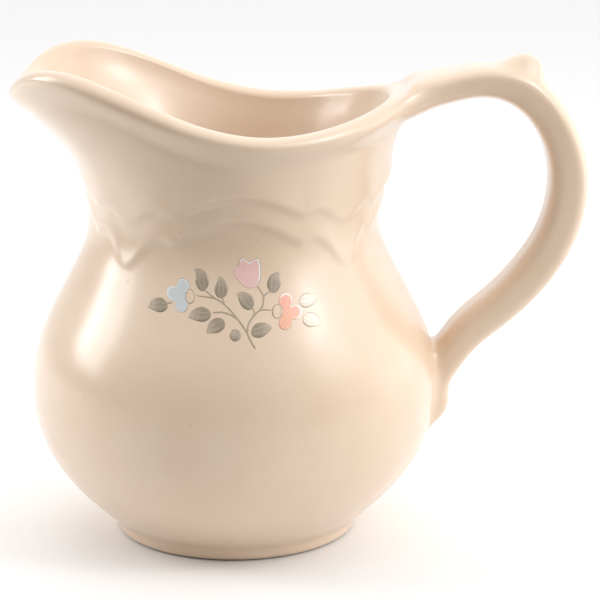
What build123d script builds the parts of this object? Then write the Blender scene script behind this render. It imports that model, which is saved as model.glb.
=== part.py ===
from build123d import *
import math
import os

# A glazed cream jug: a slip-cast vessel with a pouring spout, a separately cast
# handle luted on behind, and a floral transfer fired onto one side of the belly.
# Frame: origin at the centre of the foot ring on the table, +Z up, the spout
# towards -X, the handle towards +X, the transfer facing -Y. Millimetres.

# Driving dimensions of the vessel.
BELLY_RADIUS = 43.0
FOOT_RADIUS = 25.2
FOOT_RING_WIDTH = 4.2
FOOT_HEIGHT = 3.2
FOOT_RECESS = 1.8
WALL = 4.0
FLOOR_HEIGHT = 6.2
SECTION_TOP = 108.0

# Outer sections of the vessel: height, radius at the sides, reach at the spout.
OUTER_SECTIONS = [
    (3.0, 26.6, 26.6),
    (8.0, 31.6, 31.6),
    (13.0, 36.2, 36.2),
    (18.0, 39.5, 39.5),
    (24.0, 41.9, 41.9),
    (31.0, BELLY_RADIUS, BELLY_RADIUS),
    (38.0, 42.5, 42.5),
    (45.0, 40.4, 40.4),
    (52.0, 37.0, 37.0),
    (58.0, 33.8, 33.8),
    (64.0, 31.3, 31.3),
    (70.0, 30.5, 30.7),
    (76.0, 31.6, 31.9),
    (82.0, 33.0, 34.6),
    (88.0, 34.7, 40.1),
    (94.0, 37.0, 45.6),
    (100.0, 39.2, 47.6),
    (SECTION_TOP, 41.8, 48.8),
]
# Inner sections of the hollow: the same, one wall thinner.
HOLLOW_START = 9.0
HOLLOW_FLOOR_RADIUS = 24.0
SPOUT_STARTS_AT = 104.0
SPOUT_FULL_AT = 178.0
POINTS_PER_SECTION = 24

# The rim's height along the jug, from beyond the spout's tip to beyond the back.
RIM_LINE = [
    (-56.0, 89.0),
    (-45.5, 95.2),
    (-42.0, 99.4),
    (-38.0, 101.4),
    (-34.0, 101.9),
    (-24.0, 99.4),
    (-8.0, 93.1),
    (8.0, 89.8),
    (24.0, 91.6),
    (36.0, 95.8),
    (48.0, 98.6),
]
RIM_ROUNDING = 1.6

# The handle, station by station from inside the back wall over the top and
# down to the belly: centre x, centre z, thickness, width.
HANDLE_STATIONS = [
    (29.5, 90.4, 8.8, 21.0),
    (37.6, 92.5, 8.8, 19.0),
    (44.2, 95.2, 7.6, 16.6),
    (50.0, 96.5, 7.4, 15.0),
    (56.3, 96.2, 7.8, 14.0),
    (62.2, 93.2, 8.0, 13.4),
    (67.3, 86.6, 7.9, 13.0),
    (69.8, 79.4, 8.4, 12.8),
    (70.0, 72.0, 8.7, 12.8),
    (67.6, 63.8, 8.9, 12.8),
    (62.6, 55.8, 9.0, 12.8),
    (56.0, 49.0, 8.8, 12.8),
    (49.4, 42.8, 8.4, 12.8),
    (44.8, 36.0, 7.6, 12.6),
    (42.4, 29.6, 6.4, 12.2),
    (41.0, 23.6, 6.0, 11.6),
]
# The handle's root laps onto the outer half of the rim, down to this height.
ROOT_LAP_RADIUS = 34.4
ROOT_LAP_HEIGHT = 92.0
# The thumb spur's sections, from inside the strap up to its blunt top:
# centre x, height, length along X, width across.
SPUR_SECTIONS = [
    (59.0, 94.5, 9.6, 12.0),
    (59.6, 97.4, 9.0, 11.4),
    (60.3, 100.0, 6.8, 9.4),
    (60.7, 102.0, 4.6, 7.0),
]
SPUR_ROUNDING = 1.3

# The transfer: how thick the enamel stands, and its motifs as (x, z) places.
ENAMEL = 0.15
LEAF_WIDTH = 2.7
STEM_WIDTH = 0.5
DARK_LEAVES = [
    ((-5.1, 59.4), (-7.1, 63.3)),
    ((-1.5, 58.3), (-1.9, 62.3)),
    ((8.4, 58.9), (9.7, 62.6)),
    ((4.4, 56.3), (1.7, 59.4)),
    ((-3.7, 55.4), (-8.0, 54.3)),
    ((-1.0, 54.1), (-4.5, 51.5)),
    ((-12.4, 56.6), (-16.2, 55.2)),
    ((4.4, 52.0), (8.4, 52.7)),
]
PALE_LEAVES = [
    ((14.2, 57.0), (17.6, 57.9)),
    ((14.6, 53.6), (17.6, 51.9)),
]
BLUE_LOBES = [(-9.0, 60.0), (-11.1, 58.4), (-9.4, 56.4)]
CORAL_LOBES = [(11.1, 57.0), (13.0, 54.9), (11.1, 53.0)]
LOBE_RADIUS = 1.75
BLUE_BUD = (-7.1, 58.2)
CORAL_BUD = (8.9, 55.3)
BUD_RADIUS = 1.0
BERRY_PLACE = (1.2, 51.4)
BERRY_RADIUS = 1.1
TULIP_PLACE = (3.7, 62.8)
STEMS = [
    [(4.7, 49.3), (3.5, 52.0), (1.7, 54.2), (-2.4, 57.8), (-6.2, 58.2)],
    [(1.7, 54.2), (-1.0, 55.4), (-3.6, 55.4)],
    [(3.5, 51.9), (3.7, 53.6), (6.2, 55.9), (7.9, 55.5)],
    [(6.0, 55.8), (6.6, 58.2), (5.0, 60.6)],
    [(6.5, 57.6), (8.3, 58.8)],
    [(-12.2, 56.6), (-11.0, 56.9)],
]


def spout_share(angle):
    """0 at the back and the sides, rising smoothly to 1 at the spout."""
    turned = abs(math.degrees(angle))
    share = (turned - SPOUT_STARTS_AT) / (SPOUT_FULL_AT - SPOUT_STARTS_AT)
    share = min(max(share, 0.0), 1.0)
    return share * share * (3.0 - 2.0 * share)


def vessel_section(height, side_radius, spout_reach):
    """A horizontal closed curve: round, drawn out towards the spout."""
    points = []
    for index in range(POINTS_PER_SECTION):
        angle = 2.0 * math.pi * index / POINTS_PER_SECTION - math.pi
        radius = side_radius + (spout_reach - side_radius) * spout_share(angle)
        points.append((radius * math.cos(angle), radius * math.sin(angle), height))
    return Face(Wire([Spline(*points, periodic=True)]))


def vessel_form(grow):
    """The vessel's outer form, uncut at the rim, grown outwards by a distance."""
    sections = []
    for height, side_radius, spout_reach in OUTER_SECTIONS:
        sections.append(vessel_section(height, side_radius + grow, spout_reach + grow))
    return loft(sections)


def hollow_form():
    """The hollow inside: the outer form less the wall, with a rounded floor."""
    sections = [vessel_section(FLOOR_HEIGHT, HOLLOW_FLOOR_RADIUS, HOLLOW_FLOOR_RADIUS)]
    for height, side_radius, spout_reach in OUTER_SECTIONS:
        if height > HOLLOW_START:
            sections.append(vessel_section(height, side_radius - WALL, spout_reach - WALL))
    above = (SECTION_TOP + 4.0, 43.0 - WALL, 49.4 - WALL)
    sections.append(vessel_section(*above))
    return loft(sections)


def above_rim():
    """Everything above the rim's line, as a prism along Y."""
    line = Spline(*[(x, 0.0, z) for x, z in RIM_LINE])
    first_x = RIM_LINE[0][0]
    last_x = RIM_LINE[-1][0]
    top = SECTION_TOP + 20.0
    frame = Polyline(line @ 1, (last_x, 0.0, top), (first_x, 0.0, top), line @ 0)
    return extrude(Face(Wire([line] + frame.edges())), amount=70.0, dir=(0, 1, 0), both=True)


def foot_ring():
    """The short foot under the belly, hollowed to a ring underneath."""
    disc = Pos(0, 0, FOOT_HEIGHT / 2) * Cylinder(FOOT_RADIUS, FOOT_HEIGHT)
    return fillet(disc.faces().sort_by(Axis.Z)[0].edges(), 0.9)


def foot_recess():
    recess_radius = FOOT_RADIUS - FOOT_RING_WIDTH
    recess = Pos(0, 0, FOOT_RECESS / 2) * Cylinder(recess_radius, FOOT_RECESS)
    return fillet(recess.faces().sort_by(Axis.Z)[-1].edges(), 0.8)


def jug_body():
    body = vessel_form(0.0) + foot_ring()
    body = body - hollow_form() - foot_recess() - above_rim()
    body = body.solids().sort_by(SortBy.VOLUME)[-1]
    rim_faces = [face for face in body.faces() if face.center().Z > 88.0]
    rim_face = sorted(rim_faces, key=lambda face: face.area)[0]
    return fillet(rim_face.edges(), RIM_ROUNDING)


def handle_section(centre, forward, thickness, width):
    """A rounded strap section, square to the handle's run."""
    plane = Plane(origin=(centre[0], 0, centre[1]), x_dir=(0, 1, 0),
                  z_dir=(forward[0], 0, forward[1]))
    points = []
    for index in range(16):
        angle = 2.0 * math.pi * (index + 0.5) / 16
        across = math.copysign(abs(math.cos(angle)) ** 0.72, math.cos(angle))
        through = math.copysign(abs(math.sin(angle)) ** 0.72, math.sin(angle))
        points.append((0.5 * width * across, 0.5 * thickness * through))
    return plane * Face(Wire([Spline(*points, periodic=True)]))


def thumb_spur():
    """The blunt spur on top of the handle's bend, for the thumb."""
    sections = []
    for x, z, length, width in SPUR_SECTIONS:
        sections.append(Pos(x, 0, z) * Ellipse(length / 2, width / 2))
    spur = loft(sections)
    return fillet(spur.faces().sort_by(Axis.Z)[-1].edges(), SPUR_ROUNDING)


def handle(body):
    """The strap handle, fitted against the vessel's wall and its rim."""
    sections = []
    last = len(HANDLE_STATIONS) - 1
    for index, (x, z, thickness, width) in enumerate(HANDLE_STATIONS):
        before = HANDLE_STATIONS[max(index - 1, 0)]
        after = HANDLE_STATIONS[min(index + 1, last)]
        run = (after[0] - before[0], after[1] - before[1])
        length = math.hypot(*run)
        forward = (run[0] / length, run[1] / length)
        sections.append(handle_section((x, z), forward, thickness, width))
    mouth_height = SECTION_TOP - ROOT_LAP_HEIGHT
    mouth = Pos(0, 0, ROOT_LAP_HEIGHT + mouth_height / 2) * Cylinder(ROOT_LAP_RADIUS, mouth_height)
    strap = loft(sections) + thumb_spur()
    strap = strap - mouth - body
    return strap.solids().sort_by(SortBy.VOLUME)[-1]


def leaf(base, tip):
    """An almond-shaped leaf from its base to its tip."""
    length_x = tip[0] - base[0]
    length_z = tip[1] - base[1]
    length = math.hypot(length_x, length_z)
    side = (-length_z / length * LEAF_WIDTH / 2, length_x / length * LEAF_WIDTH / 2)
    middle = (base[0] + 0.45 * length_x, base[1] + 0.45 * length_z)
    left = (middle[0] + side[0], middle[1] + side[1])
    right = (middle[0] - side[0], middle[1] - side[1])
    return make_face([ThreePointArc(base, left, tip), ThreePointArc(tip, right, base)])


def flower(lobes, middle):
    """Three round lobes that meet in the middle."""
    shape = Pos(middle[0], middle[1]) * Circle(LOBE_RADIUS * 0.8)
    for place in lobes:
        shape += Pos(place[0], place[1]) * Circle(LOBE_RADIUS)
    return shape


def tulip():
    x, z = TULIP_PLACE
    cup = Pos(x, z - 0.6) * Ellipse(2.4, 2.1)
    for offset in (-1.6, 0.1, 1.8):
        petal = Pos(x + offset, z + 0.8) * Ellipse(0.95, 1.9)
        cup += petal
    return cup


def stems():
    shape = None
    for points in STEMS:
        line = Spline(*points)
        strip = trace(line, STEM_WIDTH)
        shape = strip if shape is None else shape + strip
    return shape


def motifs():
    """The transfer's flat shapes, drawn in x and z, none over another."""
    dark = Sketch() + [leaf(*ends) for ends in DARK_LEAVES]
    pale = Sketch() + [leaf(*ends) for ends in PALE_LEAVES]
    blue_bud = Pos(*BLUE_BUD) * Ellipse(BUD_RADIUS * 0.8, BUD_RADIUS * 1.2)
    coral_bud = Pos(*CORAL_BUD) * Circle(BUD_RADIUS)
    blue = flower(BLUE_LOBES, (-9.6, 58.3)) - blue_bud
    coral = flower(CORAL_LOBES, (11.5, 55.0)) - coral_bud
    berry = Pos(*BERRY_PLACE) * Circle(BERRY_RADIUS)
    tulip_shape = tulip()
    top_layer = [dark, pale, blue, coral, blue_bud, coral_bud, berry, tulip_shape]
    stem_shape = stems()
    for other in top_layer:
        stem_shape = stem_shape - other
    return {
        "transfer_stems": stem_shape,
        "transfer_leaves": dark,
        "transfer_pale_leaves": pale,
        "transfer_tulip": tulip_shape,
        "transfer_blue_flower": blue,
        "transfer_coral_flower": coral,
        "transfer_buds": Sketch() + [blue_bud, coral_bud],
        "transfer_berry": berry,
    }


def transfer_pieces():
    """Each motif as a skin of enamel on the belly's front."""
    skin = vessel_form(ENAMEL) - vessel_form(0.0)
    front = Plane(origin=(0, -60, 0), x_dir=(1, 0, 0), z_dir=(0, -1, 0))
    pieces = {}
    for name, shape in motifs().items():
        prism = extrude(front * shape, amount=-45.0)
        pieces[name] = skin & prism
    return pieces


os.makedirs("parts", exist_ok=True)
vessel = jug_body()
parts = {"jug_body": vessel, "handle": handle(vessel)}
parts.update(transfer_pieces())
for name, shape in parts.items():
    export_step(shape, f"parts/{name}.step")
    print(name, len(shape.solids()), round(shape.volume, 2))
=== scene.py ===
import math

import bpy
import numpy as np
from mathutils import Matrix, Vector
from mathutils.bvhtree import BVHTree


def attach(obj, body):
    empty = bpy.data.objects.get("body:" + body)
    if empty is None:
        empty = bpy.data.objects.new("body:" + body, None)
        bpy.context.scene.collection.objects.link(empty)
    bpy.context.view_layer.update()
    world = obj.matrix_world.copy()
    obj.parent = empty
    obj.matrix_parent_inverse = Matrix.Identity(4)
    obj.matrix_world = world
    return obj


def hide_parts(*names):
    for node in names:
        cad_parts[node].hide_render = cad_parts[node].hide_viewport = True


# A glazed cream jug in its own frame: the foot ring's centre at the origin, +Z up,
# the spout towards -X, the handle towards +X, the floral transfer facing -Y.
# Shapes are worked out in millimetres and become metres when a mesh is made.
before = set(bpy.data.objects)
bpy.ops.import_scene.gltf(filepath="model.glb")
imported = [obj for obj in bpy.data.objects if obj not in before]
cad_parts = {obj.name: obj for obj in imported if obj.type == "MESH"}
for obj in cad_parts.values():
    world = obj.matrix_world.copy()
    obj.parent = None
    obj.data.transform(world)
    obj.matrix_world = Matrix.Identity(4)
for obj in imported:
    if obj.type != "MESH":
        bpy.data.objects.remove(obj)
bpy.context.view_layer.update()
MM = 0.001

# ---------------------------------------------------------------- driving sizes
WALL = 4.0
WALL_BASE = 6.0

# The rolled lip flares out at its crest, hangs upright a little way down and ends
# in a faint groove.
LIP_HALF_HEIGHT = 2.0
LIP_FLARE = 0.9
LIP_FLARE_REACH = 2.3
LIP_HOLD = 1.3
LIP_HOLD_REACH = 3.5
LIP_GROOVE = 0.22
GROOVE_DROP = 4.6
GROOVE_WIDTH = 1.5

# The moulded relief: each line's height at its middle, shoulder and corner tongue,
# and how sharply the tongue falls.
UPPER_LINE = (77.8, 73.7, 71.2, 2.0)
LOWER_LINE = (72.6, 68.0, 62.4, 2.0)
# Shares of the way along a line, from 0 at its middle to 1 at its corner: where the
# arch ends, how long the shoulder's swell is, where the tongue starts and how blunt
# its tip is.
ARCH_END = 0.6
SWELL_RUN = 0.36
TONGUE_START = 0.7
TONGUE_ROUND = 0.1
# How full the arch is, and how high the shoulder swells.
ARCH_POWER = 1.2
SHOULDER_SWELL = 0.7
# Each tier steps out over these distances from its line, then sinks back upwards.
STEP_EDGE = (-1.7, 1.3)
STEP_SINK = 5.0
RELIEF_STEP = 1.15
LOWER_STEP_SHARE = 0.9
# The relief starts between these heights, and is fainter at the corners and the spout.
RELIEF_FOOT = (52.0, 60.0)
CORNER_FADE = 0.65
SPOUT_FADE = 0.55
SPOUT_FADE_TURN = (0.78, 0.97)
# The whole relief is turned a little about the jug's axis.
RELIEF_TURN = math.radians(3.0)
# The neck's radius there, and how near a line its slope counts.
RELIEF_REACH = 31.0
LINE_REACH = 3.0

# The spout grows out of the wall between these turns from the handle, in degrees,
# and these heights.
SPOUT_TURN = (98.0, 180.0)
SPOUT_RISE = (60.0, 72.0)
SPOUT_LOW = 58.0

# The vessel's outer radius at the sides by height, and its reach at the spout.
SIDE_PROFILE = [
    (3.2, 26.8), (6, 29.5), (9, 32.6), (13, 36.2), (18, 39.5), (24, 41.9), (31, 43.0),
    (38, 42.5), (45, 40.3), (52, 36.8), (58, 33.6), (64, 31.0), (70, 30.3), (76, 31.3),
    (82, 32.7), (88, 34.5), (94, 36.8), (100, 39.1), (108, 41.8),
]
SPOUT_PROFILE = [
    (58, 33.6), (64, 31.1), (70, 30.3), (76, 31.0), (82, 33.7), (88, 39.0),
    (91, 42.3), (94, 44.8), (98, 46.1), (103, 47.2), (108, 47.8),
]
# The rim's crest: height by distance along the jug.
RIM_LINE = [
    (-52, 93.0), (-43.4, 97.0), (-41, 99.5), (-38, 101.2), (-34, 101.7), (-30, 101.1),
    (-24, 99.2), (-16, 96.0), (-8, 92.9), (0, 90.7), (8, 89.7), (16, 90.1), (24, 91.5),
    (30, 93.1), (36, 95.0), (44, 97.0),
]
# The crest's place along the jug depends on its height, so it is found in passes
# from a first guess.
CREST_GUESS = 95.0
CREST_PASSES = 40


def smooth_line(points):
    """A natural cubic spline through (x, y) points, as a function of x."""
    xs = np.array([p[0] for p in points], float)
    ys = np.array([p[1] for p in points], float)
    count = len(xs)
    gaps = np.diff(xs)
    slopes = np.diff(ys) / gaps
    system = np.eye(count)
    right = np.zeros(count)
    for i in range(1, count - 1):
        system[i, i - 1] = gaps[i - 1]
        system[i, i] = 2 * (gaps[i - 1] + gaps[i])
        system[i, i + 1] = gaps[i]
        right[i] = 6 * (slopes[i] - slopes[i - 1])
    bend = np.linalg.solve(system, right)

    def value(x):
        x = np.clip(np.asarray(x, float), xs[0], xs[-1])
        i = np.clip(np.searchsorted(xs, x, side="right") - 1, 0, count - 2)
        left = (xs[i + 1] - x) / gaps[i]
        other = (x - xs[i]) / gaps[i]
        curve = (left ** 3 - left) * bend[i] + (other ** 3 - other) * bend[i + 1]
        return left * ys[i] + other * ys[i + 1] + curve * gaps[i] ** 2 / 6

    return value


def ease(low, high, value):
    """0 below low, 1 above high, and a smooth rise between them."""
    share = np.clip((value - low) / (high - low), 0.0, 1.0)
    return share ** 3 * (share * (6 * share - 15) + 10)


side_radius = smooth_line(SIDE_PROFILE)
spout_reach = smooth_line(SPOUT_PROFILE)
rim_height = smooth_line(RIM_LINE)


def plain_radius(angle, height):
    """The vessel's outer radius without relief or lip."""
    side = side_radius(height)
    share = ease(*SPOUT_TURN, np.degrees(np.abs(angle)))
    lift = ease(*SPOUT_RISE, height)
    return side + (spout_reach(np.maximum(height, SPOUT_LOW)) - side) * share * lift


def crest_height(angle):
    """The rim's height round the mouth."""
    height = np.full_like(angle, CREST_GUESS)
    for _ in range(CREST_PASSES):
        middle = plain_radius(angle, height) - WALL / 2
        height = 0.5 * height + 0.5 * rim_height(middle * np.cos(angle))
    return height


def frame_line(turn, middle, shoulder, corner, sharp):
    """One edge of the moulded frame: an arch, two shoulders and a corner tongue."""
    quarter = math.pi / 2
    away = np.abs((turn + quarter / 2) % quarter - quarter / 2) / math.radians(45)
    far = math.hypot(1.0, TONGUE_ROUND)
    away = (far - np.hypot(1.0 - away, TONGUE_ROUND)) / (far - TONGUE_ROUND)
    arch = np.cos(np.clip(away / ARCH_END, 0, 1) * math.pi / 2) ** ARCH_POWER
    arch = shoulder + (middle - shoulder) * arch
    swell = SHOULDER_SWELL * np.sin(np.clip((away - ARCH_END) / SWELL_RUN, 0, 1) * math.pi)
    tongue = np.clip((away - TONGUE_START) / (1 - TONGUE_START), 0, 1) ** sharp
    fall = (shoulder - corner) * tongue
    return arch + swell - fall


def above_line(turn, height, *line):
    """How far a point is above a frame line, square to the line."""
    step = 0.02
    rise = frame_line(turn + step, *line) - frame_line(turn - step, *line)
    slope = rise / (2 * step * RELIEF_REACH)
    above = height - frame_line(turn, *line)
    return above / np.sqrt(1 + slope ** 2 * np.exp(-(above / LINE_REACH) ** 2))


def step_down(above):
    """A tier's edge: it stands proud at the line, and fades upwards."""
    return ease(*STEP_EDGE, above) * np.exp(-np.maximum(above, 0.0) / STEP_SINK)


def relief(angle, height):
    """The moulded frame round the waist, in two tiers."""
    turn = angle + math.pi / 2 - RELIEF_TURN
    upper = above_line(turn, height, *UPPER_LINE)
    lower = above_line(turn, height, *LOWER_LINE)
    fade = ease(*RELIEF_FOOT, height) * (1.0 - CORNER_FADE * np.sin(2 * turn) ** 4)
    fade = fade * (1.0 - SPOUT_FADE * ease(*SPOUT_FADE_TURN, -np.cos(angle)))
    return RELIEF_STEP * (step_down(upper) + LOWER_STEP_SHARE * step_down(lower)) * fade


def outer_radius(angle, height, crest):
    """The finished outer radius: form, relief, the lip's flare and the groove under it."""
    drop = np.maximum(crest - LIP_HALF_HEIGHT - height, 0.0)
    held = LIP_HOLD * (1 - np.exp(-drop / LIP_HOLD)) * np.exp(-(drop / LIP_HOLD_REACH) ** 2)
    flare = LIP_FLARE * np.exp(-(drop / LIP_FLARE_REACH) ** 2)
    groove = LIP_GROOVE * np.exp(-((drop - GROOVE_DROP) / GROOVE_WIDTH) ** 2)
    return plain_radius(angle, height + held) + relief(angle, height) + flare - groove


# ---------------------------------------------------------------- mesh helpers
def new_piece(name, points, faces, node, material):
    """A smooth mesh piece from millimetre points, in the place of one CAD node."""
    mesh = bpy.data.meshes.new(name)
    mesh.from_pydata((np.asarray(points) * MM).tolist(), [], faces)
    mesh.validate()
    mesh.update()
    mesh.polygons.foreach_set("use_smooth", [True] * len(mesh.polygons))
    mesh.materials.append(material)
    piece = bpy.data.objects.new(name, mesh)
    bpy.context.scene.collection.objects.link(piece)
    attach(piece, "root")
    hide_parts(node)
    return piece


def add_map(piece, name, places):
    """A UV map from one (u, v) pair per vertex."""
    layer = piece.data.uv_layers.new(name=name)
    corners = np.empty(len(piece.data.loops), dtype=np.int32)
    piece.data.loops.foreach_get("vertex_index", corners)
    layer.data.foreach_set("uv", np.asarray(places, float)[corners].ravel())


def tube_faces(rings, around, start_tip, end_tip):
    """Quads between closed rings, and a fan at each end to a tip point."""
    faces = []
    for ring in range(rings - 1):
        for i in range(around):
            j = (i + 1) % around
            low = ring * around
            faces.append((low + i, low + j, low + around + j, low + around + i))
    last = (rings - 1) * around
    for i in range(around):
        j = (i + 1) % around
        faces.append((start_tip, j, i))
        faces.append((end_tip, last + i, last + j))
    return faces


# ---------------------------------------------------------------- the vessel
# How finely each part of the skin is divided, and where the inner wall starts.
AROUND = 400
INNER_RINGS = 28
LIP_RINGS = 15
OUTER_RINGS = 176
INNER_BOTTOM = 13.0
FLOOR_PROFILE = [(4, 6.2), (9, 6.2), (14, 6.25), (18, 6.5), (22, 7.1), (26, 8.6), (29.6, 10.8)]
FOOT_PROFILE = [
    (29.5, 6.0), (28.4, 4.9), (27.3, 4.0), (26.5, 3.3), (26.1, 2.9), (25.85, 2.5), (25.8, 1.9),
    (25.7, 1.2), (25.4, 0.6), (24.8, 0.18), (24.0, 0.0), (23.2, 0.0), (22.4, 0.0), (21.8, 0.1),
    (21.3, 0.4), (21.05, 0.9), (20.8, 1.4), (20.2, 1.75), (19.0, 1.8), (12.0, 1.8), (6.0, 1.8),
]
CREST_RING = len(FLOOR_PROFILE) + INNER_RINGS + LIP_RINGS // 2


def vessel_rings(angle):
    """The vessel's rings: hollow floor, inner wall, lip, outer wall, foot."""
    crest = crest_height(angle)
    top = crest - LIP_HALF_HEIGHT
    rings = [(np.full_like(angle, r), np.full_like(angle, z)) for r, z in FLOOR_PROFILE]
    for share in np.linspace(0, 1, INNER_RINGS):
        height = INNER_BOTTOM + share * (top - INNER_BOTTOM)
        rings.append((plain_radius(angle, height) - WALL, height))
    inner = plain_radius(angle, top) - WALL
    outer = outer_radius(angle, top, crest)
    middle = (inner + outer) / 2
    half = (outer - inner) / 2
    for turn in np.linspace(math.pi, 0, LIP_RINGS + 2)[1:-1]:
        height = top + LIP_HALF_HEIGHT * math.sin(turn)
        rings.append((middle + half * math.cos(turn), height))
    for share in np.linspace(0, 1, OUTER_RINGS):
        height = top + share * (WALL_BASE - top)
        rings.append((outer_radius(angle, height, crest), height))
    for r, z in FOOT_PROFILE[1:]:
        rings.append((np.full_like(angle, r), np.full_like(angle, z)))
    return rings


def make_vessel(material):
    """The glazed vessel as one closed skin."""
    angle = np.linspace(-math.pi, math.pi, AROUND, endpoint=False)
    rings = vessel_rings(angle)
    points = []
    for radius, height in rings:
        points.append(np.stack([radius * np.cos(angle), radius * np.sin(angle), height], 1))
    points = np.concatenate(points)
    tips = np.array([(0, 0, FLOOR_PROFILE[0][1]), (0, 0, FOOT_PROFILE[-1][1])])
    count = len(points)
    faces = tube_faces(len(rings), AROUND, count, count + 1)
    faces = [tuple(reversed(face)) for face in faces]
    points = np.concatenate([points, tips])
    return new_piece("vessel", points, faces, "jug_body", material)


# ---------------------------------------------------------------- the handle
# Stations from the rim over the top and down to the belly:
# centre x, centre z, thickness, width.
HANDLE_STATIONS = [
    (30.5, 90.4, 6.4, 26.0), (37.5, 93.8, 6.8, 21.5), (44.6, 95.5, 6.5, 17.2),
    (50.2, 96.5, 6.5, 15.2), (56.3, 96.1, 7.1, 14.0), (62.0, 93.2, 7.6, 13.4),
    (67.1, 86.6, 7.6, 13.0), (69.6, 79.4, 8.0, 12.8), (69.8, 72.0, 8.3, 12.8),
    (67.5, 63.7, 8.2, 12.8), (62.5, 55.7, 8.2, 12.8), (56.2, 49.1, 7.9, 12.8),
    (49.4, 43.2, 7.5, 12.8), (44.9, 37.1, 6.7, 12.6), (42.6, 31.0, 6.3, 12.2),
    (42.3, 27.4, 6.3, 12.0), (41.3, 25.2, 4.6, 11.6), (40.0, 23.6, 2.8, 11.0),
]
HANDLE_RINGS = 260
HANDLE_AROUND = 72
NEAR_STEP = 0.05
SQUARENESS = 0.60
# The thumb spur: its peak's place along the jug, its height above the strap, its
# run up to the peak, its fall after it, its half width and its lean.
SPUR_PLACE = 61.6
SPUR_HEIGHT = 3.5
SPUR_RUN_UP = 8.5
SPUR_FALL = (0.6, 3.6)
SPUR_WIDTH = 4.0
SPUR_LEAN = 0.25
# It rises from the strap's outer face only, on the part above these heights.
SPUR_FACE = (0.0, 0.8)
SPUR_HEIGHTS = (80.0, 90.0)
# Rings above these heights belong to the joint at the rim.
RIM_JOINT = (55.0, 75.0)
# How far a face has to turn up, or in to the jug, to count as the top or the crotch.
TOP_FACING = (0.15, 0.85)
CROTCH_FACING = (0.1, 0.7)
ROOT_FILLET = 6.6
BELLY_FILLET = 2.2
CROTCH_FILLET = 3.0
# The strap's top meets the rim over this run, as far out as these distances. Past
# the crest it runs on a little, sinking into the lip.
CREST_RUN = 3.6
CREST_REACH = (48.0, 52.0)
CREST_OVERRUN = 2.0
OVERRUN_SINK = 0.3
# The strap's sides end this far inside the crest, or in the wall lower down.
CREST_INSIDE = 1.0
BELOW_CREST = (0.5, 2.5)
NECK_HEIGHTS = (60.0, 70.0)
# How deep the hidden ends lie in the wall, and how soon they get there.
BURIED = 1.2
BURIED_REACH = 1.6
# The lower joint's edge dips a little, so that it crosses the wall cleanly.
SEAM_DIP = 0.16
SEAM_REACH = 0.5
# A strap face more nearly level with the wall than this is drawn out no further.
LEAST_SLANT = 0.4
# Nearer than this, a face's own normal is used.
NORMAL_REACH = 0.3
# The root's surface is evened out up to these distances along the jug.
ROOT_END = (42.0, 50.0)
RELAX_PASSES = 6
START_CAP_RINGS = 6
END_CAP_RINGS = 5


def station_lines():
    """Each station value as a smooth function of the distance along the handle."""
    centres = np.array([(s[0], s[1]) for s in HANDLE_STATIONS])
    run = np.concatenate([[0], np.cumsum(np.linalg.norm(np.diff(centres, axis=0), axis=1))])
    lines = []
    for column in range(4):
        lines.append(smooth_line([(run[i], s[column]) for i, s in enumerate(HANDLE_STATIONS)]))
    return run[-1], lines


def spur_rise(x, y):
    """How far the thumb spur lifts a point of the handle's outer face."""
    past = x - SPUR_PLACE
    along = np.where(past < 0.0, ease(-SPUR_RUN_UP, 0.0, past), 1.0 - ease(*SPUR_FALL, past))
    across = np.exp(-(np.abs(y) / SPUR_WIDTH) ** 3)
    return SPUR_HEIGHT * along * across


def handle_rings():
    """The strap's own rings, from the rim over the top to the belly."""
    length, (line_x, line_z, thick, wide) = station_lines()
    rings = []
    turn = np.linspace(0, 2 * math.pi, HANDLE_AROUND, endpoint=False)
    across = np.sign(np.cos(turn)) * np.abs(np.cos(turn)) ** SQUARENESS
    through = np.sign(np.sin(turn)) * np.abs(np.sin(turn)) ** SQUARENESS
    for at in np.linspace(0, length, HANDLE_RINGS):
        before, after = at - NEAR_STEP, at + NEAR_STEP
        ahead = (line_x(after) - line_x(before), line_z(after) - line_z(before))
        size = math.hypot(*ahead)
        outward = (-ahead[1] / size, ahead[0] / size)
        reach = through * thick(at) / 2
        x = line_x(at) + outward[0] * reach
        z = line_z(at) + outward[1] * reach
        y = across * wide(at) / 2
        outside = ease(*SPUR_FACE, through)
        upper = ease(*SPUR_HEIGHTS, np.full_like(turn, line_z(at)))
        rise = spur_rise(x, y) * outside * upper
        rings.append(np.stack([x + SPUR_LEAN * rise, y, z + rise], 1))
    return np.array(rings)


def nearest_on(tree, point):
    """The nearest surface point, its normal, and the signed distance to it.

    Away from the surface the direction to the point is smoother than a face's normal.
    """
    place, normal, _, distance = tree.find_nearest(Vector(point))
    offset = np.array(point) - np.array(place)
    normal = np.array(normal)
    side = 1.0 if offset @ normal >= 0 else -1.0
    if distance > NORMAL_REACH:
        normal = side * offset / distance
    return np.array(place), normal, side * distance


def ring_normals(rings):
    """Outward normals of the handle's rings."""
    along = np.gradient(rings, axis=0)
    around = np.roll(rings, -1, axis=1) - np.roll(rings, 1, axis=1)
    normals = np.cross(around, along)
    return normals / np.maximum(np.linalg.norm(normals, axis=2, keepdims=True), 1e-9)


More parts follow.
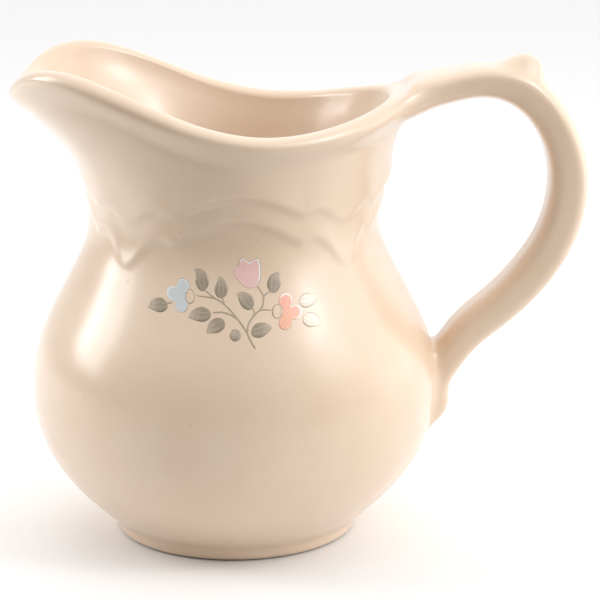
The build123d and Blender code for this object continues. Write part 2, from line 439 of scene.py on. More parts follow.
def meet_crest(rings, tops):
    """Lays the handle's top down onto the rim's crest and ends it inside the lip."""
    x, y, z = rings[..., 0], rings[..., 1], rings[..., 2]
    angle = np.arctan2(y, x)
    reach = np.hypot(x, y)
    crest = crest_height(angle)
    middle = plain_radius(angle, crest) - WALL / 2
    share = ease(0.0, CREST_RUN, reach - middle)
    past = np.clip(middle - reach, 0.0, CREST_OVERRUN)
    laid = crest + (z - crest) * share - OVERRUN_SINK * past ** 2
    near = 1.0 - ease(*CREST_REACH, reach)
    z = z + (laid - z) * tops * near
    wall = outer_radius(angle, z, crest) - BURIED
    inside = middle - CREST_INSIDE
    limit = inside + (wall - inside) * ease(*BELOW_CREST, crest - z)
    high = ease(*NECK_HEIGHTS, z)
    scale = 1.0 + high * (np.maximum(reach, limit) / reach - 1.0)
    return np.stack([x * scale, y * scale, z], -1)


def join_to(tree, rings):
    """Draws the handle's ends out over the vessel's wall in smooth fillets."""
    normals = ring_normals(rings)
    high = ease(*RIM_JOINT, rings.mean(axis=1)[:, 2])[:, None]
    tops = ease(*TOP_FACING, normals[..., 2]) * high
    rings = meet_crest(rings, tops)
    crotch = ease(*CROTCH_FACING, -normals[..., 0])
    low_sizes = BELLY_FILLET + (CROTCH_FILLET - BELLY_FILLET) * crotch
    sizes = (low_sizes + (ROOT_FILLET - low_sizes) * high) * (1.0 - tops)
    joined = rings.copy()
    depths = np.ones(rings.shape[:2])
    for ring in range(len(rings)):
        for i in range(HANDLE_AROUND):
            point = rings[ring, i]
            place, up, height = nearest_on(tree, point)
            size = max(sizes[ring, i], 1e-3)
            if height >= size or tops[ring, i] > 0.99:
                continue
            own = normals[ring, i]
            share = max(height, 0.0) / size
            radial = np.array([place[0], place[1], 0.0]) / math.hypot(place[0], place[1])
            up = up + (radial - up) * high[ring, 0]
            up = up / np.linalg.norm(up)
            sideways = own - (own @ up) * up
            slant = max(np.linalg.norm(sideways), LEAST_SLANT)
            sideways = sideways / max(np.linalg.norm(sideways), 1e-6)
            descent = -(up - (up @ own) * own) / slant
            moved = point + (1 - share) * descent * max(height, 0.0) / slant
            moved = moved + (1 - share) ** 2 * size * sideways
            place, up, _ = nearest_on(tree, moved)
            buried = BURIED * (1 - math.exp(-(min(height, 0.0) / BURIED_REACH) ** 2))
            depth = size * share ** 2
            dip = SEAM_DIP * (1.0 - ease(0.0, SEAM_REACH, depth)) * (1.0 - high[ring, 0])
            depth -= dip + buried
            depths[ring, i] = depth
            joined[ring, i] = place + up * depth
    return relaxed(joined, high * ease(0.0, 0.7, depths))


def relaxed(rings, share):
    """The root's surface, evened out between its neighbours where it stands clear."""
    root = 1.0 - ease(*ROOT_END, rings[..., 0])
    share = (root * share)[1:-1, :, None]
    for _ in range(RELAX_PASSES):
        around = np.roll(rings, 1, axis=1) + np.roll(rings, -1, axis=1)
        mean = (around[1:-1] + rings[:-2] + rings[2:]) / 4
        rings[1:-1] += 0.5 * share * (mean - rings[1:-1])
    return rings


def end_cap(tree, ring, steps):
    """Rings that close an end inside the vessel's wall."""
    centre = ring.mean(axis=0)
    caps = []
    for step in range(1, steps):
        share = step / steps
        row = ring + (centre - ring) * share
        for i in range(len(row)):
            place, up, _ = nearest_on(tree, row[i])
            row[i] = place - up * BURIED
        caps.append(row)
    place, up, _ = nearest_on(tree, centre)
    return caps, place - up * BURIED


def make_handle(vessel_tree, material):
    """The strap handle as one closed skin whose ends lie inside the vessel's wall."""
    rings = join_to(vessel_tree, handle_rings())
    start, start_tip = end_cap(vessel_tree, rings[0], START_CAP_RINGS)
    end, end_tip = end_cap(vessel_tree, rings[-1], END_CAP_RINGS)
    rings = np.concatenate([start[::-1], rings, end])
    points = rings.reshape(-1, 3)
    count = len(points)
    faces = tube_faces(len(rings), HANDLE_AROUND, count, count + 1)
    points = np.concatenate([points, [start_tip, end_tip]])
    return new_piece("strap_handle", points, faces, "handle", material)


def outer_skin_tree(piece, first_ring):
    """A search tree of the vessel's outside, from its crest down, in millimetres."""
    points = [vertex.co / MM for vertex in piece.data.vertices]
    inside = first_ring * AROUND
    faces = [tuple(polygon.vertices) for polygon in piece.data.polygons]
    return BVHTree.FromPolygons(points, [face for face in faces if min(face) >= inside])


# ---------------------------------------------------------------- materials
def new_material(name):
    """A node material, its node tree and its shader."""
    material = bpy.data.materials.new(name)
    material.use_nodes = True
    tree = material.node_tree
    return material, tree, tree.nodes["Principled BSDF"]


def add_noise(tree, scale, detail):
    """A noise field in the piece's own space, in cycles per metre."""
    place = tree.nodes.new("ShaderNodeTexCoord")
    noise = tree.nodes.new("ShaderNodeTexNoise")
    noise.inputs["Scale"].default_value = scale
    noise.inputs["Detail"].default_value = detail
    tree.links.new(place.outputs["Object"], noise.inputs["Vector"])
    return noise.outputs["Fac"]


def map_value(tree, value, from_low, from_high, to_low, to_high):
    """A smooth step from one range of a value to another."""
    ramp = tree.nodes.new("ShaderNodeMapRange")
    ramp.interpolation_type = "SMOOTHSTEP"
    ramp.inputs["From Min"].default_value = from_low
    ramp.inputs["From Max"].default_value = from_high
    ramp.inputs["To Min"].default_value = to_low
    ramp.inputs["To Max"].default_value = to_high
    tree.links.new(value, ramp.inputs["Value"])
    return ramp.outputs["Result"]


def mix_colour(tree, share, first, second):
    """A blend of two colours; each is a socket or an RGB triple."""
    mix = tree.nodes.new("ShaderNodeMix")
    mix.data_type = "RGBA"
    tree.links.new(share, mix.inputs["Factor"])
    for socket, colour in ((mix.inputs[6], first), (mix.inputs[7], second)):
        if isinstance(colour, tuple):
            socket.default_value = (*colour, 1)
        else:
            tree.links.new(colour, socket)
    return mix.outputs[2]


def map_part(tree, name, part):
    """One coordinate of a UV map."""
    layer = tree.nodes.new("ShaderNodeUVMap")
    layer.uv_map = name
    split = tree.nodes.new("ShaderNodeSeparateXYZ")
    tree.links.new(layer.outputs["UV"], split.inputs[0])
    return split.outputs[part]


def calculate(tree, operation, first, second=0.0):
    """A math node on a socket and a socket or number."""
    node = tree.nodes.new("ShaderNodeMath")
    node.operation = operation
    tree.links.new(first, node.inputs[0])
    if isinstance(second, float):
        node.inputs[1].default_value = second
    else:
        tree.links.new(second, node.inputs[1])
    return node.outputs[0]


GLAZE = (0.772, 0.590, 0.434)
GLAZE_PALE = (0.792, 0.615, 0.462)
GLAZE_WARM = (0.750, 0.563, 0.403)
SPECK = (0.46, 0.29, 0.16)
BARE_CLAY = (0.62, 0.50, 0.38)
BARE_CLAY_DARK = (0.50, 0.38, 0.27)
# The glaze stops between these heights on the foot ring, in metres.
GLAZE_EDGE = (0.00035, 0.0006)
# The shine under the coat varies between these roughnesses.
SATIN = (0.38, 0.44)
COAT_WEIGHT = 0.9
COAT_ROUGHNESS = 0.21
GLAZE_IOR = 1.5
RIPPLE_STRENGTH = 0.12
RIPPLE_DEPTH = 0.0002


def satin_finish(tree, shader):
    """The fired glaze's soft shine, slightly uneven, with a faint ripple."""
    gloss = map_value(tree, add_noise(tree, 120.0, 3.0), 0.3, 0.7, *SATIN)
    tree.links.new(gloss, shader.inputs["Roughness"])
    shader.inputs["IOR"].default_value = GLAZE_IOR
    shader.inputs["Coat Weight"].default_value = COAT_WEIGHT
    shader.inputs["Coat Roughness"].default_value = COAT_ROUGHNESS
    shader.inputs["Coat IOR"].default_value = GLAZE_IOR
    bump = tree.nodes.new("ShaderNodeBump")
    bump.inputs["Strength"].default_value = RIPPLE_STRENGTH
    bump.inputs["Distance"].default_value = RIPPLE_DEPTH
    tree.links.new(add_noise(tree, 260.0, 2.0), bump.inputs["Height"])
    tree.links.new(bump.outputs["Normal"], shader.inputs["Normal"])


def glaze_tone(tree):
    """Cream glaze colour: cloudy, with a fine grain and rare specks."""
    cloud = map_value(tree, add_noise(tree, 38.0, 3.0), 0.35, 0.65, 0.0, 1.0)
    tone = mix_colour(tree, cloud, GLAZE_WARM, GLAZE_PALE)
    grain = map_value(tree, add_noise(tree, 900.0, 2.0), 0.3, 0.7, 0.0, 0.35)
    tone = mix_colour(tree, grain, tone, GLAZE)
    speck = map_value(tree, add_noise(tree, 420.0, 1.0), 0.77, 0.83, 0.0, 0.3)
    return mix_colour(tree, speck, tone, SPECK)


def glaze_material():
    """The glaze, with the bare fired clay where the foot ring stands."""
    material, tree, shader = new_material("cream_glaze")
    satin_finish(tree, shader)
    tone = glaze_tone(tree)
    place = tree.nodes.new("ShaderNodeTexCoord")
    split = tree.nodes.new("ShaderNodeSeparateXYZ")
    tree.links.new(place.outputs["Object"], split.inputs[0])
    wobble = map_value(tree, add_noise(tree, 300.0, 2.0), 0.3, 0.7, -0.0001, 0.0001)
    edge = calculate(tree, "ADD", split.outputs["Z"], wobble)
    bare = map_value(tree, edge, *GLAZE_EDGE, 1.0, 0.0)
    clay = mix_colour(tree, add_noise(tree, 2500.0, 3.0), BARE_CLAY, BARE_CLAY_DARK)
    tree.links.new(mix_colour(tree, bare, tone, clay), shader.inputs["Base Color"])
    return material


LEAF_BROWN = (0.335, 0.272, 0.198)
LEAF_DARK = (0.235, 0.183, 0.127)
LEAF_LIGHT = (0.580, 0.468, 0.345)
# Painted sheen: the whitish tint of leaves washed out by the right-hand light.
PALE_LEAF_SHEEN = (0.80, 0.68, 0.56)
PALE_LEAF_LINE = (0.47, 0.43, 0.38)
STEM_SHADE = (0.40, 0.31, 0.215)
STEM_LIGHT = (0.50, 0.395, 0.280)
PINK = (0.80, 0.535, 0.480)
PINK_LIGHT = (0.845, 0.575, 0.530)
PINK_GRAIN = (0.74, 0.45, 0.40)
BLUE = (0.60, 0.625, 0.645)
BLUE_LIGHT = (0.66, 0.695, 0.675)
BLUE_GRAIN = (0.53, 0.56, 0.59)
# Painted highlight on the blue flower's upper left.
BLUE_PAINTED_HIGHLIGHT = (0.74, 0.77, 0.75)
CORAL_LOW = (0.86, 0.42, 0.25)
CORAL_HIGH = (0.90, 0.41, 0.30)
CORAL_GRAIN = (0.93, 0.55, 0.42)
BERRY_LOW = (0.30, 0.235, 0.175)
BERRY_HIGH = (0.47, 0.375, 0.285)
LINE_BROWN = (0.370, 0.285, 0.190)
LINE_GREY = (0.330, 0.280, 0.220)
LINE_RUST = (0.56, 0.36, 0.25)
# Painted highlight: the pale colour of the flowers' lit edges.
PAINTED_HIGHLIGHT = (0.930, 0.900, 0.850)


def stipple(tree, colour, other, amount):
    """A fine printed grain between two colours."""
    grain = map_value(tree, add_noise(tree, 2600.0, 2.0), 0.35, 0.65, 0.0, amount)
    return mix_colour(tree, grain, colour, other)


def leaf_veins(tree, count):
    """Fine lines that run from a leaf's base to its tip, 0 to 1."""
    across = map_part(tree, "spread", "Y")
    wander = map_value(tree, add_noise(tree, 700.0, 2.0), 0.2, 0.8, -0.05, 0.05)
    wandered = calculate(tree, "ADD", across, wander)
    phase = calculate(tree, "MULTIPLY", wandered, count * 2 * math.pi)
    return map_value(tree, calculate(tree, "COSINE", phase), 0.1, 0.95, 0.0, 1.0)


def leaf_edges(tree, start):
    """1 along a leaf's two sides, 0 inside."""
    aside = calculate(tree, "SUBTRACT", map_part(tree, "spread", "Y"), 0.5)
    away = calculate(tree, "ABSOLUTE", aside)
    return map_value(tree, away, start, start + 0.1, 0.0, 1.0)


def leaf_material():
    """Brown-grey enamel, dark at the base, lighter at the tip, finely veined."""
    material, tree, shader = new_material("leaf_enamel")
    satin_finish(tree, shader)
    along = map_value(tree, map_part(tree, "spread", "X"), 0.3, 1.0, 0.0, 0.9)
    tone = mix_colour(tree, along, LEAF_BROWN, LEAF_LIGHT)
    light = calculate(tree, "MULTIPLY", leaf_veins(tree, 3.0), 0.38)
    tone = mix_colour(tree, light, tone, LEAF_LIGHT)
    dark = calculate(tree, "MULTIPLY", leaf_edges(tree, 0.38), 0.7)
    tone = mix_colour(tree, dark, tone, LEAF_DARK)
    tree.links.new(stipple(tree, tone, LEAF_DARK, 0.3), shader.inputs["Base Color"])
    return material


def sheen_pale_leaf_material():
    """Leaves drawn in faint lines on the bare glaze, their whitish paleness a painted sheen where
    the right-hand light washes them out.
    """
    material, tree, shader = new_material("pale_leaf_enamel")
    satin_finish(tree, shader)
    # Painted sheen: a whitish tint over the glaze where the right-hand light washes these leaves
    # out.
    tone = mix_colour(tree, add_noise(tree, 900.0, 2.0), GLAZE_PALE, PALE_LEAF_SHEEN)
    veins = calculate(tree, "MULTIPLY", leaf_veins(tree, 3.0), 0.6)
    edges = calculate(tree, "MULTIPLY", leaf_edges(tree, 0.40), 0.6)
    lines = calculate(tree, "MAXIMUM", veins, edges)
    fade = map_value(tree, map_part(tree, "spread", "X"), 0.1, 0.9, 0.9, 0.35)
    lines = calculate(tree, "MULTIPLY", lines, fade)
    tree.links.new(mix_colour(tree, lines, tone, PALE_LEAF_LINE), shader.inputs["Base Color"])
    return material


def stem_material():
    """Brown stems, darker along one side."""
    material, tree, shader = new_material("stem_enamel")
    satin_finish(tree, shader)
    across = map_value(tree, map_part(tree, "spread", "Y"), 0.1, 0.9, 0.0, 1.0)
    tone = mix_colour(tree, across, STEM_SHADE, STEM_LIGHT)
    tree.links.new(stipple(tree, tone, LEAF_DARK, 0.25), shader.inputs["Base Color"])
    return material


def outline_share(tree, near, far, lean_x, lean_z, side):
    """1 between two distances from the outline, on the side that a flat direction points to."""
    distance = map_part(tree, "edge", "X")
    soft = 0.03
    inside = map_value(tree, distance, near - soft, near + soft, 0.0, 1.0)
    outside = map_value(tree, distance, far - soft, far + soft, 1.0, 0.0)
    lean = calculate(tree, "MULTIPLY", map_part(tree, "spread", "X"), lean_x)
    rise = calculate(tree, "MULTIPLY", map_part(tree, "spread", "Y"), lean_z)
    facing = map_value(tree, calculate(tree, "ADD", lean, rise), side - 0.06, side + 0.06, 0.0, 1.0)
    return calculate(tree, "MULTIPLY", calculate(tree, "MULTIPLY", inside, outside), facing)


def pink_material():
    """The tulip: dusty pink with a painted highlight, a pale line inside a grey outline at the top
    and right.
    """
    material, tree, shader = new_material("pink_enamel")
    satin_finish(tree, shader)
    tone = mix_colour(tree, add_noise(tree, 500.0, 2.0), PINK, PINK_LIGHT)
    tone = stipple(tree, tone, PINK_GRAIN, 0.3)
    # Painted highlight along the top and right, inside the outline.
    tone = mix_colour(tree, outline_share(tree, 0.14, 0.42, 0.7, 0.7, 0.72), tone, PAINTED_HIGHLIGHT)
    tone = mix_colour(tree, outline_share(tree, -0.2, 0.15, 0.6, 0.8, 0.62), tone, LINE_GREY)
    tree.links.new(tone, shader.inputs["Base Color"])
    return material


def blue_material():
    """The blue flower: pale grey-blue with a painted highlight along its upper left and a thin grey
    outline on its right.
    """
    material, tree, shader = new_material("blue_enamel")
    satin_finish(tree, shader)
    tone = mix_colour(tree, add_noise(tree, 420.0, 2.0), BLUE, BLUE_LIGHT)
    tone = stipple(tree, tone, BLUE_GRAIN, 0.3)
    # Painted highlight, a paler band along the upper left.
    tone = mix_colour(tree, outline_share(tree, 0.1, 0.35, -0.6, 0.8, 0.1), tone, BLUE_PAINTED_HIGHLIGHT)
    tone = mix_colour(tree, outline_share(tree, -0.2, 0.11, 1.0, 0.35, 0.66), tone, LINE_GREY)
    tree.links.new(tone, shader.inputs["Base Color"])
    return material


def coral_material():
    """The coral flower: warm orange-pink with a painted highlight, a pale band along its upper
    right.
    """
    material, tree, shader = new_material("coral_enamel")
    satin_finish(tree, shader)
    rise = map_value(tree, map_part(tree, "spread", "Y"), 0.1, 0.9, 0.0, 1.0)
    tone = mix_colour(tree, rise, CORAL_LOW, CORAL_HIGH)
    tone = stipple(tree, tone, CORAL_GRAIN, 0.4)
    # Painted highlight along the upper right, inside the outline.
    tone = mix_colour(tree, outline_share(tree, 0.08, 0.36, 0.8, 0.6, 0.78), tone, PAINTED_HIGHLIGHT)
    tone = mix_colour(tree, outline_share(tree, -0.2, 0.12, -0.7, -0.7, -0.76), tone, LINE_RUST)
    tree.links.new(tone, shader.inputs["Base Color"])
    return material


def bud_material():
    """Open ovals: the glaze's colour inside a brown line."""
    material, tree, shader = new_material("bud_enamel")
    satin_finish(tree, shader)
    tone = mix_colour(tree, add_noise(tree, 700.0, 2.0), GLAZE, GLAZE_PALE)
    uneven = map_value(tree, add_noise(tree, 800.0, 2.0), 0.3, 0.7, 0.55, 0.9)
    line = calculate(tree, "MULTIPLY", outline_share(tree, -0.2, 0.19, 1.0, 1.0, -1.0), uneven)
    tree.links.new(mix_colour(tree, line, tone, LINE_BROWN), shader.inputs["Base Color"])
    return material


def berry_material():
    """A brown berry, darker round its edge and below."""
    material, tree, shader = new_material("berry_enamel")
    satin_finish(tree, shader)
    rise = map_value(tree, map_part(tree, "spread", "Y"), 0.33, 0.62, 0.0, 1.0)
    tone = mix_colour(tree, rise, BERRY_LOW, BERRY_HIGH)
    inside = map_value(tree, map_part(tree, "edge", "X"), 0.0, 0.4, 0.6, 0.0)
    tone = mix_colour(tree, inside, tone, LEAF_DARK)
    tree.links.new(stipple(tree, tone, LEAF_LIGHT, 0.35), shader.inputs["Base Color"])
    return material


# ---------------------------------------------------------------- the transfer
# The sprig's places are (x, z) on the vessel's front, in millimetres.
# Every patch stands this far proud of the glaze and reaches this far into it.
ENAMEL = 0.05
SUNK = 0.15
ACROSS = 9
# The rim's height over the sprig, and the passes that find a place on the wall.
FRONT_CREST = 92.0
WALL_PASSES = 8
# A blob's lengths are divided by this, so that its map lies between 0 and 1.
MAP_SPAN = 6.0
# Each leaf: its base, its tip and how far it bows sideways.
LEAF_WIDTH = 2.65
LEAF_BASE_POWER = 0.78
LEAF_ROUND_POWER = 0.68
LEAF_STEPS = 30
DARK_LEAVES = [
    ((-5.0, 59.3), (-7.0, 63.2), -0.25), ((-1.6, 58.0), (-2.1, 62.0), -0.1),
    ((8.4, 58.8), (9.9, 62.4), 0.2), ((4.6, 56.2), (1.5, 58.9), -0.1),
    ((-3.6, 55.2), (-8.0, 54.4), -0.1), ((-0.9, 53.9), (-4.4, 51.8), -0.1),
    ((-12.3, 56.4), (-16.2, 55.5), -0.12), ((4.3, 51.8), (8.4, 52.4), 0.1),
]
PALE_LEAVES = [((13.7, 56.7), (17.3, 57.7), -0.15), ((14.5, 54.0), (17.9, 52.2), 0.1)]
BLUE_MIDDLE = (-9.9, 58.3)
BLUE_LOBES = [(-9.2, 60.1), (-11.2, 58.5), (-9.5, 56.5)]
CORAL_MIDDLE = (11.5, 55.1)
CORAL_LOBES = [(11.0, 57.3), (13.0, 55.0), (11.0, 53.3)]
LOBE_RADIUS = 1.32
FLOWER_HEART = 1.3
# Each bud and the berry: its middle, half width and half height.
BUDS = [((-7.8, 58.2), 0.95, 1.35), ((9.4, 55.4), 1.05, 1.3)]
BERRY = ((1.2, 51.4), 1.1, 1.1)
# The tulip's outline, measured from its middle.
TULIP_MIDDLE = (3.7, 62.8)
TULIP_OUTLINE = [
    (2.5, 0.3), (2.4, 1.5), (2.0, 2.5), (1.4, 2.5), (0.3, 2.0), (-0.6, 2.4), (-1.3, 2.8),
    (-1.8, 2.2), (-2.0, 1.5), (-2.6, 0.9), (-3.0, 0.1), (-2.8, -0.7), (-2.0, -1.6),
    (-0.8, -2.7), (0.4, -3.0), (1.6, -2.7), (2.4, -1.4),
]
# Each stem: its points, then its width at the root and at the end.
STEMS = [
    ([(5.2, 48.9), (4.2, 50.4), (3.4, 52.0), (1.7, 54.2), (-0.4, 56.4), (-2.8, 57.9),
      (-6.7, 58.4)], 0.43, 0.24),
    ([(1.6, 54.3), (0.4, 55.0), (-1.4, 55.5), (-3.4, 55.4)], 0.36, 0.24),
    ([(3.6, 51.8), (3.8, 53.4), (5.0, 55.0), (6.3, 55.8), (8.3, 55.7)], 0.40, 0.24),
    ([(5.9, 55.6), (6.6, 56.8), (6.6, 58.4), (5.4, 60.3)], 0.36, 0.26),
    ([(6.5, 57.3), (7.1, 58.6), (8.3, 59.1)], 0.32, 0.24),
    ([(4.9, 54.9), (4.9, 55.6), (4.5, 56.3)], 0.32, 0.24),
    ([(-2.5, 57.8), (-3.8, 58.6), (-4.9, 59.5)], 0.30, 0.24),
    ([(-0.9, 56.8), (-1.2, 57.6), (-1.5, 58.4)], 0.30, 0.24),
    ([(-12.6, 56.6), (-11.4, 56.9)], 0.36, 0.24),
]


def wall_point(x, z):
    """The vessel's front surface at a place across and up."""
    y = -np.sqrt(np.maximum(side_radius(z) ** 2 - x ** 2, 1.0))
    for _ in range(WALL_PASSES):
        angle = np.arctan2(y, x)
        reach = outer_radius(angle, z, FRONT_CREST)
        y = -np.sqrt(np.maximum(reach ** 2 - x ** 2, 1.0))
    return np.stack([x, y, z], -1)


def lifted(x, z, lift):
    """A point a little off the vessel's front, along its normal."""
    step = 0.02
    along = wall_point(x + step, z) - wall_point(x - step, z)
    upward = wall_point(x, z + step) - wall_point(x, z - step)
    normal = np.cross(along, upward)
    normal = normal / np.linalg.norm(normal, axis=-1, keepdims=True)
    return wall_point(x, z) + normal * np.asarray(lift)[..., None]


def curve_through(points, count, closed=False):
    """A smooth curve through flat points."""
    points = np.array(points, float)
    size = len(points)
    steps = size if closed else size - 1
    rows = []
    for t in np.linspace(0, steps, count, endpoint=not closed):
        i = min(int(t), steps - 1)
        f = t - i
        if closed:
            before, start, end, after = (points[(i + k) % size] for k in (-1, 0, 1, 2))
        else:
            start, end = points[i], points[i + 1]
            before = points[i - 1] if i > 0 else 2 * start - end
            after = points[i + 2] if i + 2 < size else 2 * end - start
        bend = (2 * before - 5 * start + 4 * end - after) * f ** 2
        turn = (3 * start - 3 * end + after - before) * f ** 3
        rows.append(0.5 * (2 * start + (end - before) * f + bend + turn))
    return np.array(rows)


def strip_patch(line, half_widths):
    """A thin closed strip on the wall: its points, faces and (along, across) map."""
    ahead = np.gradient(line, axis=0)
    ahead = ahead / np.linalg.norm(ahead, axis=1, keepdims=True)
    side = np.stack([-ahead[:, 1], ahead[:, 0]], 1)
    across = np.linspace(-1, 1, ACROSS)
    flat = line[:, None] + side[:, None] * (half_widths[:, None] * across)[..., None]
    rows = len(line)
    lift = np.broadcast_to(ENAMEL * (1 - 0.6 * across ** 6), (rows, ACROSS))
    top = lifted(flat[..., 0], flat[..., 1], lift)
    bottom = lifted(flat[..., 0], flat[..., 1], np.full((rows, ACROSS), -SUNK))
    points = np.concatenate([top.reshape(-1, 3), bottom.reshape(-1, 3)])
    under = rows * ACROSS
    faces = []
    for i in range(rows - 1):
        for j in range(ACROSS - 1):
            a = i * ACROSS + j
            quad = (a, a + ACROSS, a + ACROSS + 1, a + 1)
            faces.append(quad)
            faces.append(tuple(under + k for k in reversed(quad)))
    rim = [i * ACROSS for i in range(rows)]
    rim += [(rows - 1) * ACROSS + j for j in range(1, ACROSS)]
    rim += [i * ACROSS + ACROSS - 1 for i in range(rows - 2, -1, -1)]
    rim += list(range(ACROSS - 2, 0, -1))
    for i, a in enumerate(rim):
        b = rim[(i + 1) % len(rim)]
        faces.append((b, a, under + a, under + b))
    along = np.linspace(0, 1, rows)
    places = np.stack(np.broadcast_arrays(along[:, None], (across + 1) / 2), -1).reshape(-1, 2)
    maps = {"spread": np.concatenate([places, places]), "edge": np.zeros((2 * under, 2))}
    return points, faces, maps


def blob_patch(middle, outline):
    """A thin closed patch on the wall, with maps of its places and of the distance
    to its outline."""
    reach = np.linalg.norm(outline, axis=1)
    around = len(outline)
    # From near the middle to the outline, closer together there, then into the glaze.
    rows = [reach * 0.3, reach * 0.6, reach * 0.8 - 0.1]
    rows += [reach - 0.34, reach - 0.2, reach - 0.1, reach, reach]
    lifts = [ENAMEL] * 6 + [ENAMEL * 0.4, -SUNK]
    points, spread, edge = [], [], []
    for row, lift in zip(rows, lifts):
        flat = outline * (row / reach)[:, None]
        x, z = flat[:, 0] + middle[0], flat[:, 1] + middle[1]
        points.append(lifted(x, z, np.full(around, lift)))
        spread.append(flat / MAP_SPAN + 0.5)
        edge.append(np.stack([reach - row, np.linspace(0, 1, around)], 1))
    for lift in (ENAMEL, -SUNK):
        points.append(lifted(np.array([middle[0]]), np.array([middle[1]]), np.array([lift])))
        spread.append(np.array([[0.5, 0.5]]))
        edge.append(np.array([[reach.mean(), 0.5]]))
    last = (len(rows) - 1) * around
    centre = len(rows) * around
    faces = []
    for i in range(around):
        j = (i + 1) % around
        faces.append((centre, i, j))
        faces.append((centre + 1, last + j, last + i))
        for row in range(len(rows) - 1):
            low = row * around
            faces.append((low + i, low + around + i, low + around + j, low + j))
    maps = {"spread": np.concatenate(spread), "edge": np.concatenate(edge)}
    return np.concatenate(points), faces, maps


def leaf_patch(base, tip, bow):
    """A pointed leaf from its base to its tip, bowed sideways."""
    base, tip = np.array(base), np.array(tip)
    along = np.linspace(0, 1, LEAF_STEPS)
    ahead = tip - base
    side = np.array([-ahead[1], ahead[0]])
    bend = bow * np.sin(along * math.pi) * along
    line = base + along[:, None] * ahead + bend[:, None] * side
    belly = np.sin(math.pi * along ** LEAF_BASE_POWER) ** LEAF_ROUND_POWER
    return strip_patch(line, np.maximum(LEAF_WIDTH / 2 * belly, 0.04))


def stem_patch(points, root_width, end_width):
    """A stem along a smooth curve, narrowing to its end."""
    line = curve_through(points, 10 * len(points))
    widths = np.linspace(root_width, end_width, len(line)) / 2
    taper = np.minimum(np.linspace(0, len(line), len(line)) / 3, 1)
    ends = np.minimum(taper, taper[::-1])
    return strip_patch(line, widths * (0.3 + 0.7 * ends))


def oval_patch(middle, half_width, half_height):
    """An upright oval."""
    turn = np.linspace(0, 2 * math.pi, 48, endpoint=False)
    outline = np.stack([half_width * np.cos(turn), half_height * np.sin(turn)], 1)
    return blob_patch(middle, outline)


def flower_patch(middle, lobes):
    """Three round petals grown together."""
    turn = np.linspace(0, 2 * math.pi, 144, endpoint=False)
    ray = np.stack([np.cos(turn), np.sin(turn)], 1)
    reach = np.full(len(turn), FLOWER_HEART)
    for lobe in lobes:
        offset = np.array(lobe) - np.array(middle)
        ahead = ray @ offset
        aside = offset @ offset - ahead ** 2
        exits = ahead + np.sqrt(np.maximum(LOBE_RADIUS ** 2 - aside, 0))
        reach = np.maximum(reach, np.where(aside < LOBE_RADIUS ** 2, exits, 0))
    for _ in range(3):
        reach = (np.roll(reach, 1) + 2 * reach + np.roll(reach, -1)) / 4
    return blob_patch(middle, ray * reach[:, None])


def tulip_patch():
    """The tulip's head."""
    return blob_patch(TULIP_MIDDLE, curve_through(TULIP_OUTLINE, 128, closed=True))


def enamel_piece(name, patches, node, material):
    """One piece from several thin patches, with their two maps."""
    points, faces, maps = [], [], {"spread": [], "edge": []}
    count = 0
    for patch_points, patch_faces, patch_maps in patches:
        points.append(patch_points)
        faces += [tuple(count + i for i in face) for face in patch_faces]
        for key, places in patch_maps.items():
            maps[key].append(places)
        count += len(patch_points)
    piece = new_piece(name, np.concatenate(points), faces, node, material)
    for key, places in maps.items():
        add_map(piece, key, np.concatenate(places))


def make_transfer():
    """The floral sprig, a piece for each enamel."""
    stems = [stem_patch(*stem) for stem in STEMS]
    enamel_piece("stems", stems, "transfer_stems", stem_material())
    leaves = [leaf_patch(*leaf) for leaf in DARK_LEAVES]
    enamel_piece("leaves", leaves, "transfer_leaves", leaf_material())
    pale = [leaf_patch(*leaf) for leaf in PALE_LEAVES]
    pale_enamel = sheen_pale_leaf_material()
    enamel_piece("pale_leaves", pale, "transfer_pale_leaves", pale_enamel)
    enamel_piece("tulip", [tulip_patch()], "transfer_tulip", pink_material())
    blue = flower_patch(BLUE_MIDDLE, BLUE_LOBES)
    enamel_piece("blue_flower", [blue], "transfer_blue_flower", blue_material())
    coral = flower_patch(CORAL_MIDDLE, CORAL_LOBES)
    enamel_piece("coral_flower", [coral], "transfer_coral_flower", coral_material())
    buds = [oval_patch(*bud) for bud in BUDS]
    enamel_piece("buds", buds, "transfer_buds", bud_material())
    enamel_piece("berry", [oval_patch(*BERRY)], "transfer_berry", berry_material())


# ---------------------------------------------------------------- the scene
# The paper floor, in metres: painted shade in front of the first of these Y places and pale past
# the second.
FLOOR_HALF = 3.0
FLOOR_TURN = (-0.28, 0.02)
FLOOR_PAINTED_SHADE = (0.22, 0.215, 0.21)
FLOOR_PALE = (0.90, 0.90, 0.90)

JUG_MIDDLE = (0.0, -0.028, 0.053)

# Each softbox: its bearing from +X and height angle in degrees, its distance and
# size in metres, and its radiance.
SOFTBOXES = {
    "left_softbox": (176, 27, 0.56, (0.22, 0.38), 5.2),
    "left_spot": (165, 18, 0.58, (0.10, 0.12), 6.5),
    "right_softbox": (-24, 37, 0.60, (0.32, 0.46), 2.0),
    "right_spot": (-26, 40, 0.62, (0.12, 0.16), 8.0),
    "right_panel": (15, 13, 0.62, (0.40, 0.40), 0.9),
}

# The room's light from the left, the right, the back and above, each a smooth lobe:
# its axis, its direction and its brightness.
ROOM = [("X", -1.0, 0.1), ("X", 1.0, 1.35), ("Y", 1.0, 1.15), ("Z", 1.0, 1.35)]

# The lens and sensor in millimetres, the place in metres, and the tilt in degrees.
CAMERA_LENS = 135.2
CAMERA_SENSOR = 36.0
CAMERA_PLACE = (0.0139, -0.465, 0.1631)
CAMERA_DOWN = 13.73


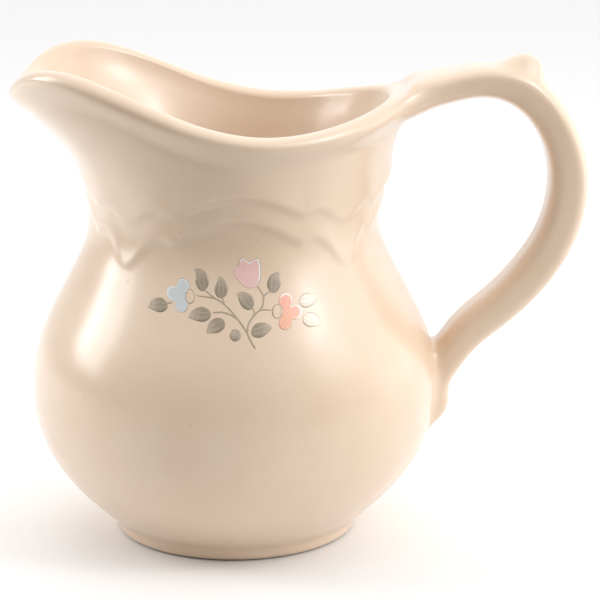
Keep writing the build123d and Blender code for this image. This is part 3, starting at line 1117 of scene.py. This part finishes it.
def make_floor():
    """A pale paper floor with painted shade, darker towards the front."""
    mesh = bpy.data.meshes.new("floor")
    half = FLOOR_HALF
    corners = [(-half, -half, 0), (half, -half, 0), (half, half, 0), (-half, half, 0)]
    mesh.from_pydata(corners, [], [(0, 1, 2, 3)])
    floor = bpy.data.objects.new("floor", mesh)
    bpy.context.scene.collection.objects.link(floor)
    material, tree, shader = new_material("pale_floor")
    place = tree.nodes.new("ShaderNodeTexCoord")
    split = tree.nodes.new("ShaderNodeSeparateXYZ")
    tree.links.new(place.outputs["Object"], split.inputs[0])
    # Painted shade: the floor darkens towards the front, so it throws less light back up onto the
    # jug.
    share = map_value(tree, split.outputs["Y"], *FLOOR_TURN, 0.0, 1.0)
    tone = mix_colour(tree, share, FLOOR_PAINTED_SHADE, FLOOR_PALE)
    tree.links.new(tone, shader.inputs["Base Color"])
    shader.inputs["Roughness"].default_value = 0.9
    mesh.materials.append(material)


def add_softbox(name, bearing, height, distance, size, radiance):
    """A rectangular softbox facing the jug."""
    turn, lift = math.radians(bearing), math.radians(height)
    level = math.cos(lift)
    away = Vector((math.cos(turn) * level, math.sin(turn) * level, math.sin(lift)))
    light = bpy.data.lights.new(name, "AREA")
    light.shape = "RECTANGLE"
    light.size = size[0]
    light.size_y = size[1]
    light.energy = radiance * size[0] * size[1] * math.pi
    lamp = bpy.data.objects.new(name, light)
    lamp.location = Vector(JUG_MIDDLE) + away * distance
    lamp.rotation_euler = away.to_track_quat("Z", "Y").to_euler()
    bpy.context.scene.collection.objects.link(lamp)


def add_camera():
    """A long lens from the front, looking a little down."""
    camera = bpy.data.cameras.new("camera")
    camera.lens = CAMERA_LENS
    camera.sensor_width = CAMERA_SENSOR
    holder = bpy.data.objects.new("camera", camera)
    holder.location = CAMERA_PLACE
    holder.rotation_euler = (math.radians(90 - CAMERA_DOWN), 0, 0)
    bpy.context.scene.collection.objects.link(holder)
    bpy.context.scene.camera = holder


def studio_world():
    """A white room whose brightness differs from side to side."""
    world = bpy.data.worlds.new("studio")
    world.use_nodes = True
    tree = world.node_tree
    place = tree.nodes.new("ShaderNodeTexCoord")
    split = tree.nodes.new("ShaderNodeSeparateXYZ")
    tree.links.new(place.outputs["Generated"], split.inputs[0])
    total = None
    for axis, sign, brightness in ROOM:
        lobe = calculate(tree, "MULTIPLY", split.outputs[axis], sign)
        lobe = calculate(tree, "MAXIMUM", lobe, 0.0)
        square = calculate(tree, "MULTIPLY", lobe, lobe)
        share = calculate(tree, "MULTIPLY", square, brightness)
        total = share if total is None else calculate(tree, "ADD", share, total)
    tree.links.new(total, tree.nodes["Background"].inputs["Strength"])
    tree.nodes["Background"].inputs["Color"].default_value = (1, 1, 1, 1)
    bpy.context.scene.world = world


def light_scene():
    """The room and its softboxes."""
    studio_world()
    for name, values in SOFTBOXES.items():
        add_softbox(name, *values)


glaze = glaze_material()
vessel = make_vessel(glaze)
make_handle(outer_skin_tree(vessel, CREST_RING), glaze)
make_transfer()
add_camera()
light_scene()
make_floor()
bpy.context.scene.view_settings.view_transform = "Standard"
